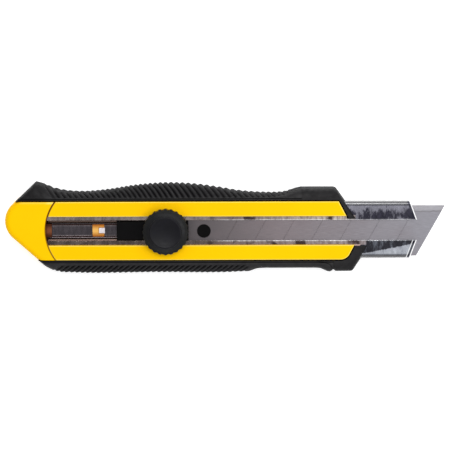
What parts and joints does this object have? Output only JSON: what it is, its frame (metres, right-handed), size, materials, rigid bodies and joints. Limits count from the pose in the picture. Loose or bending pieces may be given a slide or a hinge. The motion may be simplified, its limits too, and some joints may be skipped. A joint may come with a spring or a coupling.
{
  "type": "snap off knife",
  "caption": "Wheel-lock snap-off knife: yellow body with black ribbed grips, a folded steel channel and a sliding segmented blade clamped by a scalloped screw wheel.",
  "frame": {"origin": "on the flat back face, under the centreline of the blade channel", "axes": "+X along the knife towards the blade tip, +Y towards the cutting edge, +Z out of the front face that carries the wheel"},
  "size_m": [0.2161, 0.0453, 0.0246],
  "materials": {
    "yellow_body": "moulded plastic with a soft gloss",
    "grip_rubber": "matt moulded rubber with slanted ribs",
    "black_nose": "satin moulded plastic",
    "channel_steel": "bright rolled and folded sheet steel",
    "blade_steel": "ground steel with a bevelled edge and score lines",
    "black_plastic": "moulded plastic",
    "plated_steel": "zinc-plated steel",
    "wheel_rubber": "matt moulded rubber",
    "brass": "turned brass",
    "wheel_face": "satin moulded plastic, dished"
  },
  "bodies": {
    "handle": {"body_core": "yellow_body", "upper_grip": "grip_rubber", "lower_grip": "grip_rubber", "nose_guard": "black_nose", "blade_channel": "channel_steel"},
    "end_cap": {"end_cap": "yellow_body"},
    "carriage": {"blade": "blade_steel", "slider": "black_plastic", "lock_plate": "plated_steel", "clamp_screw": "plated_steel", "pressure_washer": "plated_steel", "wave_washer": "plated_steel", "retaining_ring": "plated_steel"},
    "lift": {"thrust_washer": "plated_steel"},
    "knob": {"knob_hub": "black_plastic", "knob_grip_ring": "wheel_rubber", "threaded_insert": "brass", "knob_cap": "wheel_face"}
  },
  "joints": [
    {"name": "carriage_slide", "type": "slide", "parent": "handle", "child": "carriage", "axis": [1, 0, 0], "range_m": [-0.034, 0.085]},
    {"name": "knob_lift", "type": "slide", "parent": "carriage", "child": "lift", "axis": [0, 0, 1], "range_m": [0, 0.000526], "deforming": ["wave_washer"]},
    {"name": "knob_turn", "type": "hinge", "parent": "lift", "child": "knob", "pos_m": [-0.0105, 0, 0.0205], "axis": [0, 0, 1], "range_deg": [0, 270]},
    {"name": "end_cap_pull", "type": "slide", "parent": "handle", "child": "end_cap", "axis": [-1, 0, 0], "range_m": [0, 0.045]}
  ],
  "couplings": [
    {"joint": "knob_lift", "follows": "knob_turn", "m_per_rad": 0.00011141}
  ]
}
